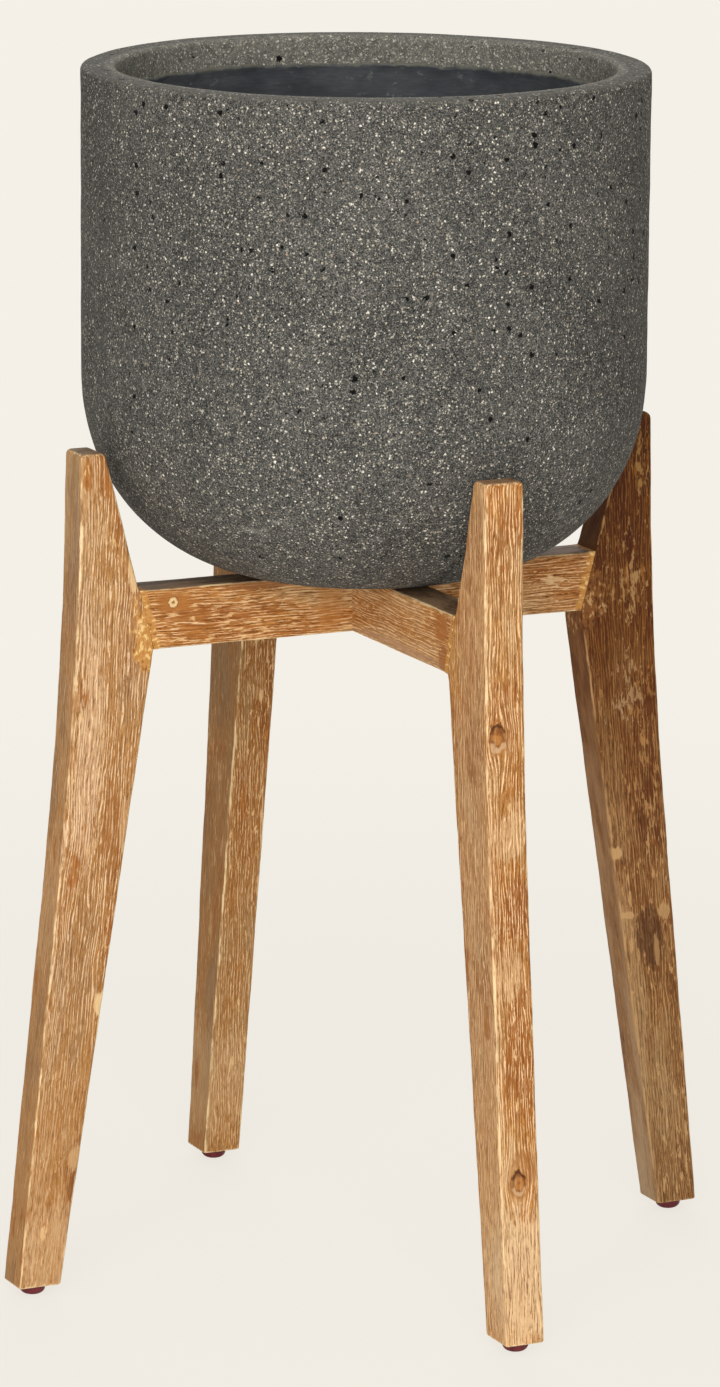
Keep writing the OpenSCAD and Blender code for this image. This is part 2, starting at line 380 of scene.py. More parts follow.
def stoneMaterial():
    material, n, place = newSurface("groundStone")
    t = stoneTones
    rim = n.attribute("rim")
    bent = n.nudged(place, n.noise(place, 0.7, 2.0, 0.6, out=1), (2.3, 2.3, 2.3))
    # body colour, mottled from a millimetre up to a hand's width
    fine, soft, wide = n.noise(place, 0.9, 1.0), n.noise(place, 5, 3.0, 0.6), n.noise(place, 60)
    colour = n.ramp(n.plus(n.plus(fine, n.swing(soft, 0.25)), n.swing(wide, 0.14)), *t["ground"])
    # paler on the flat of the rim: partly its own smoother tone, partly painted light on a top that the lamps
    # leave dark
    colour = n.over(n.times(rim, 0.25), colour, t["rim"])
    # grains from dust to chips, thick in some places and thin in others, and more on the bare band inside
    height = n.axes(place)[2]
    reach = n.length(n.vector("MULTIPLY", place, (1, 1, 0)))
    inside = n.times(n.fade(reach, pot["radius"] - 12, pot["radius"] - 20), n.fade(height, 700, 730))
    # paler on the bare band inside: painted light, as the lamps leave the inside darker
    colour = n.over(n.times(inside, n.fade(soft, 0.36, 0.62, 0.35, 0.6)), colour, t["rim"])
    crowd = n.calc("MULTIPLY_ADD", inside, 0.9, n.fade(soft, 0.34, 0.62, 0.75, 1.15))
    grains = 0.0
    for cell, share, small, large, soften, offset, tones in stoneGrains:
        mask, lot = n.specks(bent, cell, n.times(crowd, share), small, large, soften, offset)
        colour = n.over(mask, colour, n.ramp(lot, *zip((0.0, 0.22, 0.66, 1.0), tones)))
        grains = n.calc("MAXIMUM", grains, mask)
    colour = n.over(n.times(grains, inside, 0.5), colour, t["chip"])
    # faint pale rubs low on the belly
    rubAndHighlight = n.fade(n.noise(place, (30, 30, 9), 4.0, 0.65, (4, 4, 4)), 0.58, 0.72)
    colour = n.over(n.times(rubAndHighlight, n.fade(height, 535, 505), fine, 0.6), colour, t["smudge"])
    # pinholes, and larger pits, most of them high on the wall, painted near-black as painted shade inside them
    torn = n.nudged(place, n.noise(place, 1.6, 2.0, 0.6, out=1), (4.0, 4.0, 4.0))
    pinhole, _ = n.specks(bent, 4.4, 0.26, 0.3, 0.9, 0.3, (2, 6, 4))
    pit, _ = n.specks(torn, 9.0, n.fade(height, 560, 640, 0.15, 0.5), 0.9, 2.2, 0.3, (7, 3, 9))
    holes = n.calc("MAXIMUM", pinhole, pit)
    colour = n.over(n.times(holes, 0.96), colour, t["hole"])
    relief = n.calc("MULTIPLY_ADD", fine, 0.35, n.times(grains, 0.12))
    relief = n.calc("MULTIPLY_ADD", holes, -1.6, relief)
    n.toShader(colour, fine, (0.78, 0.92), relief, 0.6, 0.45, specular=0.08)
    return material


# The coat inside the pot

coat = dict(gap=0.03, thick=0.8, topZ=739.5, around=540, flow=0.12, edgeDrop=0.6,
            brushWaves=((1.0, 21, 9, 4), (0.9, 22, 27, 3), (0.5, 24, 83, 2)))  # height, seed, turns, count


def buildCoat():
    # skin on the inside wall: out along its back, round an uneven brushed edge, and down its face
    p, c = pot, coat
    back, face = p["wall"] + c["gap"], p["wall"] + c["thick"]
    top, start = c["topZ"] - p["base"], p["drain"] + 0.1
    backSide, faceSide = potSide(back, 8), potSide(face, 8)[::-1]
    rBack, rFace = p["radius"] - back, p["radius"] - face
    profile = path(
        linePoints((start, back), backSide[0], 10),
        backSide[:-1],
        linePoints(backSide[-1], (rBack, top - 12), 10),
        linePoints((rBack, top - 12), (rBack, top), 1.5),
        (rBack, top), (rBack - 0.3, top + 0.1), (rBack - 0.7, top - 0.3), (rFace - 0.55, top - 1.1),
        (rFace - 0.5, top - 2.0), (rFace - 0.2, top - 3.4), (rFace, top - 5.5),
        linePoints((rFace, top - 7.5), (rFace, top - 14), 2),
        linePoints((rFace, top - 14), faceSide[0], 8),
        faceSide[:-1],
        linePoints(faceSide[-1], (start, face), 10),
        (start, face))

    def shift(theta, radius, height):
        # brush marks along the upper edge, and a face that is slightly uneven
        near = rise(height, top - 14, top - 4)
        edge = sum(high * ringWaves(theta, *wave) for high, *wave in c["brushWaves"])
        flow = c["flow"] * ringWaves(theta + height / 90, 23, 8) * (radius < rBack - 0.2)
        return -np.abs(flow), near * (edge - c["edgeDrop"])

    points = lathe(profile, c["around"], shift)
    points[:, 2] += p["base"]
    return makePiece("slate_coat", points, gridQuads(len(profile), c["around"], True), 50)


def coatMaterial():
    material, n, place = newSurface("slateCoat")
    broad, brush = n.noise(place, (26, 26, 14), 3.0, 0.6), n.noise(place, (9, 9, 1.6), 3.0, 0.6)
    colour = n.ramp(n.calc("MULTIPLY_ADD", brush, 0.35, n.times(broad, 0.65)),
                    (0.34, (46, 49, 53)), (0.5, (59, 62, 66)), (0.62, (72, 74, 77)), (0.75, (96, 98, 97)))
    scuff = n.fade(n.noise(place, (9, 9, 7), 5.0, 0.75, (4, 2, 9)), 0.6, 0.72)
    colour = n.over(n.times(scuff, 0.6), colour, (124, 124, 118))
    # thin olive film along the brushed edge
    film = n.calc("MULTIPLY_ADD", n.noise(place, 6, 3.0, 0.6, (2, 8, 3)), 7.0, n.axes(place)[2])
    film = n.fade(film, coat["topZ"] + 0.2, coat["topZ"] + 3.4)
    colour = n.over(n.times(film, 0.7), colour, (112, 109, 92))
    n.toShader(colour, broad, (0.5, 0.66), brush, 0.25, 0.3, specular=0.4)
    return material


# The rubber plug in the drain hole

stopper = dict(foot=2, stem=9.9, flange=15, flangeTop=3, grip=5.5, waist=5.1, top=11, around=72)


def buildPlug():
    # turned outline: stem, flange with a soft edge, finger grip with a rounded top; closed on the axis
    s = stopper
    seat = pot["wall"] + coat["thick"]
    flangeTop, top, under = seat + s["flangeTop"], seat + s["top"], seat + 0.02
    profile = path(
        (0, s["foot"]), (4, s["foot"]), (s["stem"] - 1.3, s["foot"]),
        arcPoints((s["stem"] - 1, s["foot"] + 1), 1, -90, 0, 4), (s["stem"], 12), (s["stem"], under),
        (12, under), arcPoints((s["flange"] - 0.8, seat + 0.85), 0.8, -90, 0, 3),
        arcPoints((s["flange"] - 1.4, flangeTop - 1.4), 1.4, 0, 90, 5), (10, flangeTop), (7, flangeTop),
        arcPoints((s["grip"] + 1.5, flangeTop + 1.5), 1.5, -90, -180, 5), (s["waist"], seat + 7),
        arcPoints((s["grip"] - 1.6, top - 1.6), 1.6, 0, 90, 6), (2, top), (0, top))
    points = lathe(profile, s["around"])
    points[:, 2] += pot["base"]
    return makePiece("rubber_plug", points, gridQuads(len(profile), s["around"], False))


def rubberMaterial():
    return cloudedMaterial("plugRubber", 2.5, 4.0, 0.7, ((0.4, (24, 24, 25)), (0.75, (52, 51, 49))),
                           (0.55, 0.8), 0.15, 0.2)


# The stand: four legs and two crossed rails of brushed, white-washed planks

plank = dict(half=13, arris=2.1)
leg = dict(top=530, foot=7, topIn=178.5, topOut=195, topRound=3, footRound=1.2, kneeIn=147, kneeZ=405.5,
           lean=1.3, bendZ=380, bendR=2650, splayOut=39.5, footWide=28, step=2.4,
           fillerZ=412, fillerWide=17, fillerUp=34, fillerDown=27)
rail = dict(low=405.5, high=443, notch=13.1, step=2.4)
rail["middle"] = (rail["low"] + rail["high"]) / 2
pin = dict(reach=134.4, z=434.0, radius=3.6, deep=20.1)
screw = dict(head=5.1, shank=2.1, deep=2.1)
slant = (leg["topIn"] - leg["kneeIn"]) / (leg["top"] - leg["topRound"] - leg["kneeZ"])


def legOut(z):
    # the outer edge: a slight lean, one long bend, then a straight splay down to the foot
    g = leg
    lean = radians(g["lean"])
    splay = atan(g["splayOut"] / (g["bendZ"] - g["foot"]))
    bendX = g["topOut"] + (g["top"] - g["bendZ"]) * tan(lean)
    tangent = g["bendR"] * tan((splay - lean) / 2)
    highX, highZ = bendX - tangent * sin(lean), g["bendZ"] + tangent * cos(lean)
    lowZ = g["bendZ"] - tangent * cos(splay)
    centreX, centreZ = highX + g["bendR"] * cos(lean), highZ + g["bendR"] * sin(lean)
    arc = centreX - np.sqrt(g["bendR"] ** 2 - (z - centreZ) ** 2)
    return np.where(z > highZ, bendX - (z - g["bendZ"]) * tan(lean),
                    np.where(z < lowZ, bendX + (g["bendZ"] - z) * tan(splay), arc))


def legIn(z):
    # the inner edge: up and inwards from the foot to the knee, then slanting back out to the top
    g = leg
    footIn = float(legOut(np.array(float(g["foot"])))) - g["footWide"]
    below = g["kneeIn"] + (g["kneeZ"] - z) * (footIn - g["kneeIn"]) / (g["kneeZ"] - g["foot"])
    above = g["kneeIn"] + (z - g["kneeZ"]) * slant
    worn = 0.5 * np.exp(-((z - g["kneeZ"]) / 5) ** 2)  # the knee's point is a little rubbed off
    return np.maximum(below, above) + worn


def atJoint(z, spread=0):
    # 1 along the height where a rail meets a leg, 0 above and below
    return rise(z, 401 - spread, 406) * (1 - rise(z, 441, 447 + spread))


def roundedRing(low, high, half, radii, arcSteps, flatSteps):
    # rings of a box section from low to high in the first axis and half each way in the second,
    # each corner an arc of its own radius; rows are sections, columns go once round
    corners = ((high, half, 0), (low, half, 1), (low, -half, 2), (high, -half, 3))
    arcs = []
    for (edge, side, turn), r in zip(corners, radii):
        a = np.radians(90 * turn + np.linspace(0, 90, arcSteps + 1))
        centreX = edge - np.sign(cos(radians(90 * turn + 45))) * r
        centreY = side - np.sign(sin(radians(90 * turn + 45))) * r
        arcs.append((centreX[:, None] + r[:, None] * np.cos(a), centreY[:, None] + r[:, None] * np.sin(a)))
    t = np.arange(1, flatSteps + 1) / (flatSteps + 1)
    xs, ys, faces = [], [], []
    for k in range(4):
        ax, ay = arcs[k]
        bx, by = arcs[(k + 1) % 4]
        xs += [ax, ax[:, -1:] * (1 - t) + bx[:, :1] * t]
        ys += [ay, ay[:, -1:] * (1 - t) + by[:, :1] * t]
        faces += [np.linspace(k - 0.5, k + 0.5, arcSteps + 1), np.full(flatSteps, k + 0.5)]
    return np.concatenate(xs, 1), np.concatenate(ys, 1), np.concatenate(faces)


def faceValues(faces, values):
    # one value for each of the four faces, blended round the arrises; faces run outer, side, inner, side
    return np.interp(faces, [-0.5, 0.5, 1.5, 2.5, 3.5], [*values, values[0]])


def capped(*axes):
    # closes both ends of a stack of rings with ever smaller rings down to one point
    sizes = np.array([0, 0.25, 0.5, 0.75])[:, None]

    def cap(ring, sizes):
        return ring.mean() + (ring - ring.mean()) * sizes
    return [np.concatenate([cap(a[0], sizes), a, cap(a[-1], sizes[::-1])]) for a in axes]


def buildLeg(name, angle, seed, brushed, outerRound):
    # a plank on edge: rounded box sections stacked from the foot to the top, with uneven, rubbed arrises;
    # the outer edge of the top is rounded by outerRound
    g, half, topRound, footRound = leg, plank["half"], leg["topRound"], leg["footRound"]
    roundTop = max(outerRound, topRound)
    a = np.radians(np.linspace(0, 90, 8))
    z = np.concatenate([g["foot"] + footRound * (1 - np.cos(a)),
                        steps(g["foot"] + 2.6, g["top"] - roundTop - 1, g["step"]),
                        g["top"] - roundTop + roundTop * np.sin(a)])

    def inset(r):
        # how far a face draws in where the top is rounded by r, and at the foot
        up = np.clip(z - (g["top"] - r), 0, r)
        down = np.clip(g["foot"] + footRound - z, 0, footRound)
        return r - np.sqrt(r * r - up * up) + footRound - np.sqrt(footRound * footRound - down * down)

    radii = []
    for k in range(4):
        r = plank["arris"] * (1 + 0.32 * waves(z, seed + k, 90, 6))
        r = r + 0.6 * rise(waves(z, seed + 20 + k, 160, 7), 0.55, 0.9)
        if k in (1, 2):  # sharp where the rail meets the inner edge
            r = r * (1 - atJoint(z)) + 0.35 * atJoint(z)
        radii.append(np.clip(r - 0.5 * inset(topRound), 0.3, 5))
    low, high = legIn(z) + inset(topRound), legOut(z) - inset(outerRound)
    x, y, faces = roundedRing(low, high, half - inset(topRound), radii, 5, 7)
    z = np.repeat(z[:, None], x.shape[1], 1)
    y = y + 0.12 * waves(z + 3 * x, seed + 40, 130)  # planks are never quite flat
    x, y, z = capped(x, y, z)
    outer, inner = legOut(z) - x, x - legIn(z)
    # how near the closest arris is: the second smallest distance to the six sides
    toEnd = np.minimum(g["top"] - z, z - g["foot"])
    gaps = np.sort(np.stack([np.minimum(outer, inner), half - np.abs(y), toEnd]), 0)
    worn = np.clip(1 - gaps[1] / 5.5, 0, 1) * (1 - atJoint(z, 1) * (outer > 15))
    # filler spread from the joint: widest at the knee, run out above the rail and a little below it
    over = z - g["fillerZ"]
    filler = np.exp(-((x - g["kneeIn"]) / g["fillerWide"]) ** 2
                    - (over / np.where(over > 0, g["fillerUp"], g["fillerDown"])) ** 2)
    points = turned(np.stack([x, y, z], -1).reshape(-1, 3), angle)
    return makePiece(name, points, gridQuads(x.shape[0], x.shape[1], False), 40,
                     grain=np.stack([-outer, y, z], -1).reshape(-1, 3),
                     worn=worn.ravel(), filler=filler.ravel(),
                     brushed=np.broadcast_to(faceValues(faces, brushed), x.shape).ravel(),
                     inner=rise(1 - inner / 14, 0, 1).ravel(),
                     upper=rise(z, g["top"] - 0.9, g["top"] - 0.1).ravel())


def buildRail(name, angle, seed, notchAbove):
    # a plank on edge between two legs: rounded box sections along X, cut away by half at the middle,
    # and leaning out at both ends with the legs' slanted edges
    g, half, n, middle = rail, plank["half"], rail["notch"], rail["middle"]
    reach = leg["kneeIn"] + (g["high"] - g["low"]) / 2 * slant
    u = np.concatenate([[n], steps(n + 0.01, reach, g["step"])[1:], [reach]])
    across = np.concatenate([-u[::-1], [-n], steps(-n + 0.01, n, g["step"])[1:], [n], u])
    cut = np.concatenate([np.zeros(len(u)), np.ones(len(across) - 2 * len(u)), np.zeros(len(u))]) > 0
    low = np.where(cut & (not notchAbove), middle, g["low"])
    high = np.where(cut & notchAbove, middle, g["high"])
    end = 1 - rise(reach - np.abs(across), 0, 7)
    radii = []
    for k in range(4):
        r = plank["arris"] * 0.8 * (1 + 0.3 * waves(across, seed + k, 70, 6)) * (1 - 0.8 * end)
        radii.append(np.clip(r, 0.3, 4) * np.where(cut & ((k in (0, 3)) == notchAbove), 0.15, 1))
    z, y, _ = roundedRing(low, high, np.full(len(across), float(half)), radii, 4, 8)
    z, y, x = capped(z, y, np.repeat(across[:, None], z.shape[1], 1))
    x = x + slant * (z - middle) * np.clip((np.abs(x) - 40) / (reach - 40), 0, 1) * np.sign(x)
    # sections run along X here, so the grid turns the other way round from a leg's
    points = turned(np.stack([x, -y, z], -1).reshape(-1, 3), angle)
    piece = makePiece(name, points, gridQuads(x.shape[0], x.shape[1], False), 40)
    for side in (1, -1):
        # each pin goes in from the face that lies to the left of its leg
        ends = [(side * pin["reach"], side * y, pin["z"]) for y in (half + 5, half - pin["deep"])]
        bore(piece, *turned(np.array(ends), angle), (pin["radius"], pin["radius"]))
    if notchAbove:
        bore(piece, (0, 0, g["low"] - 1), (0, 0, g["low"] + screw["deep"]), (screw["head"], screw["shank"]))
    # values of the finished points, the holes' edges among them
    x, y, z = turned(np.array([v.co for v in piece.data.vertices]) / mm, -angle).T
    gaps = np.sort(np.stack([np.minimum(g["high"] - z, z - g["low"]), half - np.abs(y)]), 0)
    toEnd = leg["kneeIn"] + (z - leg["kneeZ"]) * slant - np.abs(x)
    keepValues(piece.data, grain=np.stack([z - middle, y, x], -1), worn=np.clip(1 - gaps[1] / 4.5, 0, 1),
               filler=np.exp(-(toEnd / 5) ** 2), brushed=0.6 + 0.4 * rise(np.abs(y), half - 2.5, half - 0.6),
               inner=0 * x, upper=rise(z, g["high"] - 1.2, g["high"] - 0.2))
    return piece


def bore(piece, start, end, radii):
    # cuts a round hole, or a tapered one, through a finished piece
    a, b = Vector(start) * mm, Vector(end) * mm
    around = 40
    angles = np.linspace(0, 2 * np.pi, around, endpoint=False)
    turn = (b - a).to_track_quat("Z", "Y").to_matrix().to_4x4()
    rings = []
    for centre, r in zip((a, b), radii):
        ring = np.stack([r * mm * np.cos(angles), r * mm * np.sin(angles), 0 * angles, 0 * angles + 1], -1)
        rings.append((np.array(Matrix.Translation(centre) @ turn) @ ring.T).T[:, :3])
    ends = [list(range(around))[::-1], list(range(around, 2 * around))]
    mesh = bpy.data.meshes.new("cutter")
    mesh.from_pydata(np.concatenate(rings).tolist(), [], gridQuads(2, around, False).tolist() + ends)
    cutter = addObject("cutter", mesh)
    cut = piece.modifiers.new("hole", "BOOLEAN")
    cut.operation, cut.object, cut.solver = "DIFFERENCE", cutter, "EXACT"
    bpy.context.view_layer.update()
    done = bpy.data.meshes.new_from_object(piece.evaluated_get(bpy.context.evaluated_depsgraph_get()))
    piece.modifiers.clear()
    old = piece.data
    piece.data = done
    done.name = old.name
    done.set_sharp_from_angle(angle=radians(40))
    bpy.data.meshes.remove(old)
    bpy.data.objects.remove(cutter)
    bpy.data.meshes.remove(mesh)


# patterns of the wood: size across, through and along, detail, roughness, offset
bentNoise = dict(  # these follow the bent grain
    streak=((0.42, 0.42, 6.5), 1.0, 0.6), thread=((0.85, 0.85, 14), 1.0, 0.6, (4, 4, 4)),
    band=((4.5, 4.5, 70), 2.0, 0.55), patch=((10, 10, 38), 3.0, 0.55, (5, 5, 5)),
    ragged=((2.4, 2.4, 8), 3.0, 0.65, (6, 6, 6)), sway=((6, 6, 45), 1.0, 0.5, (3, 9, 4)),
    gaps=((2.2, 2.2, 26), 3.0, 0.6, (9, 4, 7)), nicks=((1.3, 1.3, 8), 2.0, 0.6, (2, 7, 3)))
plankNoise = dict(  # these lie straight along the plank
    broad=((30, 30, 100), 2.0, 0.5, (1, 7, 2)), rubbed=((2.2, 2.2, 14), 3.0, 0.6, (2, 2, 2)),
    smear=((5, 5, 8), 3.0, 0.6, (8, 1, 3)), crumbs=((3, 3, 5), 4.0, 0.6, (1, 5, 9)))


def grainPatterns(n, w):
    # the values kept with a plank's points, and the patterns of its grain, which wanders and goes round knots
    g = SimpleNamespace(at=n.attribute("grain", 1), knots=[])
    g.across, g.through, g.along = list(n.axes(g.at))
    for key in ("worn", "filler", "brushed", "inner", "upper"):
        setattr(g, key, n.attribute(key))
    place = n.put("Mapping", {"Vector": g.at, "Location": w["offset"]})
    bent = n.nudged(place, n.noise(place, (14, 14, 60), out=1), (3.0, 3.0, 0))
    bent = n.nudged(bent, n.noise(place, (2.6, 2.6, 9), 1.0, out=1), (0.5, 0.5, 0))
    bent = n.nudged(bent, n.noise(place, (0.9, 0.9, 2.6), 2.0, 0.6, out=1), (0.38, 0.38, 1.0))
    for x, y, z, size in w["knots"]:
        far = n.away(g.at, (x, y, z), (size, size, size * 1.7))
        near = n.calc("EXPONENT", n.times(far, far, -0.45))
        pull = n.vector("MULTIPLY", n.vector("SUBTRACT", g.at, (x, y, z)), (-0.75, -0.75, -0.2))
        bent = n.vector("ADD", bent, n.sized(pull, near))
        g.knots.append(far)
    for source, patterns in ((bent, bentNoise), (place, plankNoise)):
        for key, settings in patterns.items():
            setattr(g, key, n.noise(source, *settings))
    g.blot = n.noise(bent, (3.4, 3.4, 12), 3.0, 0.62, w["offset"])
    g.bent = n.axes(bent)
    place = n.plus(g.along, n.swing(g.patch, 120))
    g.length = n.put("MapRange", {"Value": place, "From Min": w["stainFrom"], "From Max": w["stainTo"]})
    return g


def laid(n, g, colour, spots, torn=1.7, outside=1.2, inside=0.8):
    # ragged spots given one by one: place, half sizes, colour and amount; when much torn, they fall into flecks
    for x, y, z, rx, ry, rz, spotTone, amount in spots:
        far = n.plus(n.away(g.at, (x, y, z), (rx, ry, rz)), n.swing(g.ragged, torn))
        colour = n.over(n.times(n.fade(far, outside, inside), amount), colour, spotTone)
    return colour


def woodGround(n, w, g):
    # from grey tan over golden to orange brown, plainer where it isn't brushed, stained along its length
    tint = n.plus(n.swing(g.band, w["banded"]), n.swing(g.patch, w["patchy"]), n.swing(g.broad, 1.0),
                  n.times(g.inner, w["innerWarm"]), w["warmth"])
    colour = n.ramp(tint, (0.2, w["grey"]), (0.42, w["tan"]), (0.6, w["golden"]), (0.82, w["orange"]))
    plain = n.fade(n.plus(g.patch, n.swing(g.broad, 1.2)), 0.38, 0.6)
    plain = n.over(plain, w["plain"], w.get("plainDeep", w["tan"]))
    colour = n.over(n.calc("MULTIPLY_ADD", g.brushed, -0.8, 0.8), colour, plain)
    return n.over(1.0, colour, n.ramp(g.length, *w["stain"]), "MULTIPLY")


def woodLines(n, w, g, colour):
    # fine dark and pale dashes
    dashes = n.plus(n.swing(g.streak, 1.0), n.swing(g.thread, 0.6), 0.5)
    colour = n.over(n.times(n.fade(dashes, 0.44, 0.28), g.brushed, w["dark"]), colour, w["pore"])
    paler = n.fade(n.plus(dashes, n.times(n.fade(g.across, -16, -3), w["outerPale"])), 0.55, 0.72)
    colour = n.over(n.times(paler, g.brushed, w["pale"]), colour, w["paint"])
    # long thin lines side by side, wandering and broken: paint on their middles, open grain between them
    lanes = n.plus(n.calc("DIVIDE", n.plus(g.bent[0], g.bent[1]), w["pitch"]), n.swing(g.sway, 3.0))
    off = n.plus(n.calc("ABSOLUTE", n.minus(n.calc("FRACT", lanes), 0.5)), n.swing(g.thread, 0.3))
    strength = n.times(g.brushed, n.fade(g.along, *w["linesBetween"], w["linesLow"], 1.0))
    breaks = n.plus(n.swing(g.nicks, 1.0), g.gaps)
    grooves = n.fade(off, 0.5 - w["grooveWidth"], 0.5 - w["grooveWidth"] * 0.3)
    grooves = n.times(grooves, n.fade(breaks, 0.58, 0.4), strength, w["grooves"])
    chalk = n.fade(off, w["chalkWidth"], w["chalkWidth"] * 0.35)
    chalk = n.times(chalk, n.fade(breaks, 0.4, 0.56), strength, w["chalk"])
    return n.over(chalk, n.over(grooves, colour, w["pore"]), w["paint"])


def woodWear(n, w, g, colour):
    # places where the paint is gone and the red-brown ground is bare, and loose pale blotches
    bare = n.plus(g.patch, n.times(g.inner, w["bareInner"]), n.swing(g.broad, 0.6), n.swing(g.ragged, 0.3))
    bareTone = n.fade(n.plus(n.swing(g.streak, 0.4), g.thread), 0.3, 0.7)
    bareTone = n.over(bareTone, w["bareDeep"], w["bareLight"])
    colour = n.over(n.times(n.fade(bare, 0.66, 0.76), 0.85), colour, bareTone)
    blot = n.plus(g.blot, n.swing(g.broad, 0.3), n.swing(g.thread, 0.3))
    blot = n.fade(blot, 0.64 - w["blotch"], 0.71 - w["blotch"])
    return n.over(n.times(blot, g.brushed, 0.75), colour, w["blotTone"])


def woodKnots(n, w, g, colour):
    # each knot is broken up, with a dark bow above its middle and pale crumbs below
    for far, (x, y, z, size) in zip(g.knots, w["knots"]):
        rough = n.plus(far, n.swing(g.ragged, 1.5))
        knotTone = n.fade(n.calc("SINE", n.times(rough, 7.0)), -0.8, 0.8)
        knotTone = n.over(knotTone, (122, 68, 26), (172, 112, 52))
        colour = n.over(n.times(n.fade(rough, 1.3, 0.7), 0.8), colour, knotTone)
        bows = ((0.2, 0.75, 0.3, (74, 38, 12), 0.85), (-0.3, 0.62, -0.25, w["paint"], 0.45))
        for shift, reach, level, bowTone, amount in bows:
            bow = n.away(g.at, (x, y, z + size * shift), (size, size, size * 1.5))
            bow = n.minus(n.plus(bow, n.swing(g.ragged, 1.1)), reach)
            side = n.fade(g.along, z + size * level, z + size * level * 2.2)
            bow = n.fade(n.calc("ABSOLUTE", bow), 0.22, 0.08)
            colour = n.over(n.times(bow, side, amount), colour, bowTone)
    return colour


def woodJoint(n, w, g, colour):
    # filler at the joint, and round each pin a bare, sanded place; also gives back where they cover the grain
    cover = n.times(n.fade(n.plus(g.filler, n.swing(g.smear, 1.3)), 0.4, 0.62), w["filled"])
    crumbs = n.ramp(g.crumbs, (0.36, w["fillerDeep"]), (0.44, w["fillerTone"]), (0.55, w["fillerTone"]),
                    (0.61, w["fillerPale"]))
    colour = n.over(cover, colour, crumbs)
    if w["pinned"]:
        beside = n.times(n.minus(n.calc("ABSOLUTE", g.along), pin["reach"]), 0.62)
        far = n.length(n.put("CombineXYZ", {0: n.minus(g.across, pin["z"] - rail["middle"]), 1: beside}))
        pinnedFace = n.calc("GREATER_THAN", n.times(g.through, g.along), 1200.0)
        sanded = n.times(n.fade(n.plus(far, n.swing(g.ragged, 8.0)), 8.0, 4.5), pinnedFace, w["pinned"])
        colour = n.over(sanded, colour, n.over(g.patch, w["bareDeep"], w["bareLight"]))
        cover = n.calc("MAXIMUM", cover, sanded)
    return colour, cover


def woodMaterial(name, w):
    # brushed plank: ground, stains, lines of paint and open grain, wear, marks and knots; then upper faces
    # darkened to grey-brown, partly a greyer tone and partly painted shade, a veil along its length, pale
    # arrises (partly rubbed paint, partly a painted highlight) and the joint
    material, n = newMaterial(name)
    g = grainPatterns(n, w)
    colour = laid(n, g, woodGround(n, w, g), w["patches"])
    colour = woodWear(n, w, g, woodLines(n, w, g, colour))
    colour = laid(n, g, colour, w["marks"])
    colour = laid(n, g, colour, w["flecks"], 5.0, 0.2, -0.15)
    colour = woodKnots(n, w, g, colour)
    # upper faces darkened to grey-brown: partly a greyer tone of the wood, partly painted shade, most of it on
    # the rails' tops under the pot
    greyShadeTone = n.over(n.fade(n.plus(g.streak, n.swing(g.patch, 1.2)), 0.3, 0.7), (60, 48, 40), (146, 120, 94))
    colour = n.over(n.times(g.upper, w["greyAndShade"]), colour, greyShadeTone)
    colour = n.over(1.0, colour, n.ramp(g.length, *w["veil"]), "MULTIPLY")
    # pale arrises: partly worn paint, partly a painted highlight along the rounded edges
    edge = n.fade(n.plus(g.worn, n.swing(g.rubbed, 0.7)), 0.74, 0.95)
    colour = n.over(n.times(edge, w["rubAndHighlight"]), colour, w["edge"])
    colour, cover = woodJoint(n, w, g, colour)
    relief = n.times(n.plus(g.streak, n.times(g.thread, 0.5)), n.minus(1.0, cover))
    n.toShader(colour, g.streak, (0.6, 0.75), relief, 0.5, 0.45, specular=0.18)
    return material


white = (1, 1, 1, 1)
woodBase = dict(
    grey=(164, 124, 84), tan=(178, 127, 72), golden=(178, 117, 55), orange=(152, 88, 32),
    plain=(140, 98, 58), pore=(102, 56, 20), paint=(236, 200, 152), edge=(242, 214, 164),
    bareDeep=(140, 82, 34), bareLight=(178, 116, 54), blotTone=(224, 184, 130),
    fillerTone=(190, 134, 66), fillerDeep=(140, 86, 34), fillerPale=(234, 196, 130),
    warmth=0.52, banded=0.25, patchy=0.5, innerWarm=0.0, outerPale=0.0, bareInner=0.0, blotch=0.0,
    dark=0.7, pale=0.55, pitch=1.9, grooves=0.6, grooveWidth=0.14, chalk=0.7, chalkWidth=0.16,
    linesBetween=(60, 260), linesLow=1.0, rubAndHighlight=0.85, filled=0.85, pinned=0.0, greyAndShade=0.7,
    patches=(), marks=(), flecks=(), knots=(),  # a knot has its place and size
    stainFrom=0, stainTo=530, stain=[(0, white), (1, white)], veil=[(0, white), (1, white)])


# The glides under the feet

glide = dict(flat=3.0, radius=8, domeHigh=4.2, rimZ=5.6, soft=0.6, top=6.98, around=64)


def buildGlide(name, angle):
    # turned outline: a domed button with a flat to stand on and a soft rim; closed on the axis
    g = glide
    dome = arcPoints((0, 0), 1, -90, 0, 12) * np.array([g["radius"] - g["flat"], g["domeHigh"]])
    profile = path((0, 0), (g["flat"] / 2, 0), dome + np.array([g["flat"], g["domeHigh"]]),
                   (g["radius"], g["rimZ"]),
                   arcPoints((g["radius"] - g["soft"], g["rimZ"] + g["soft"]), g["soft"], 0, 90, 4),
                   (5, g["top"]), (0, g["top"]))
    points = lathe(profile, g["around"])
    points[:, 0] += float(legOut(np.array(float(leg["foot"])))) - leg["footWide"] / 2
    return makePiece(name, turned(points, angle), gridQuads(len(profile), g["around"], False))


def glideMaterial():
    return cloudedMaterial("maroonPlastic", 3, 3.0, 0.6, ((0.35, (88, 22, 30)), (0.7, (124, 40, 48))),
                           (0.3, 0.45), 0.12, 0.2)


# The screw and nails of zinc-plated steel, and the pins and loose tenons of wood

